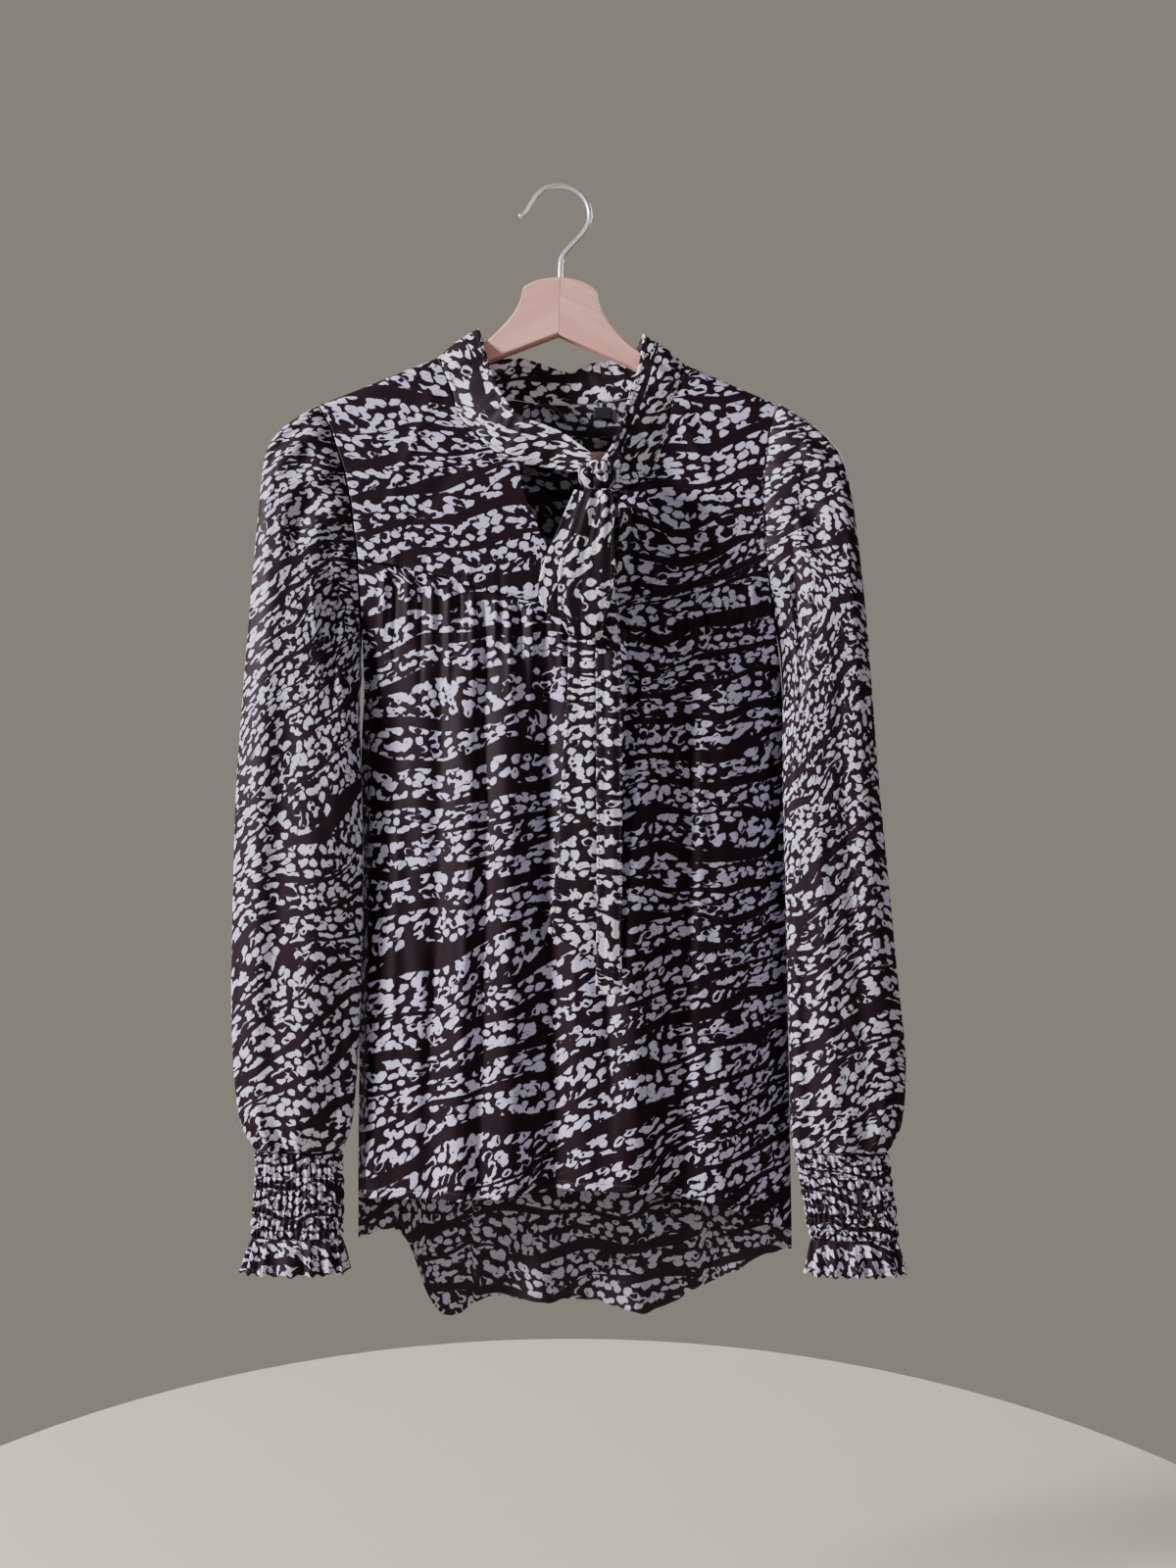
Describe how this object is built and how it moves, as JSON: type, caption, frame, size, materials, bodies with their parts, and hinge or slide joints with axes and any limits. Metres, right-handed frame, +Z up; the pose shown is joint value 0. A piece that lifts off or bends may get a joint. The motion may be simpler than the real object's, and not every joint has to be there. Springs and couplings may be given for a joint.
{
  "type": "tie neck blouse on a hanger",
  "caption": "Long-sleeved tie neck blouse in a dark animal print with smocked cuffs and a longer back hem, hanging on a wooden hanger.",
  "frame": {"origin": "underside of the top of the hanger's hook, where it hangs", "axes": "+Z up along the hook, -Y out of the blouse's front, +X to the right seen from the front"},
  "size_m": [0.4945, 0.1019, 0.8474],
  "materials": {
    "printed_crepe": "thin crepe, dark aubergine ground with pale lilac animal print, soft sheen",
    "black_ribbon": "black woven ribbon",
    "hanger_wood": "pale pinkish wood, satin lacquer",
    "hook_chrome": "bright chromed wire"
  },
  "bodies": {
    "root": {"front_yoke_left": "printed_crepe", "front_yoke_right": "printed_crepe", "front_body": "printed_crepe", "back_body": "printed_crepe", "sleeve_left": "printed_crepe", "sleeve_right": "printed_crepe", "cuff_left": "printed_crepe", "cuff_right": "printed_crepe", "cuff_frill_left": "printed_crepe", "cuff_frill_right": "printed_crepe", "neck_band": "printed_crepe", "slit_band": "printed_crepe", "tie_knot": "printed_crepe", "tie_loop_front": "printed_crepe", "tie_loop_rear": "printed_crepe", "tie_tail_short": "printed_crepe", "tie_tail_long": "printed_crepe", "neck_label": "black_ribbon", "hang_loop": "black_ribbon", "hanger_arm_left": "hanger_wood", "hanger_arm_right": "hanger_wood", "hanger_bar": "hanger_wood", "hanger_hook": "hook_chrome"}
  },
  "joints": []
}
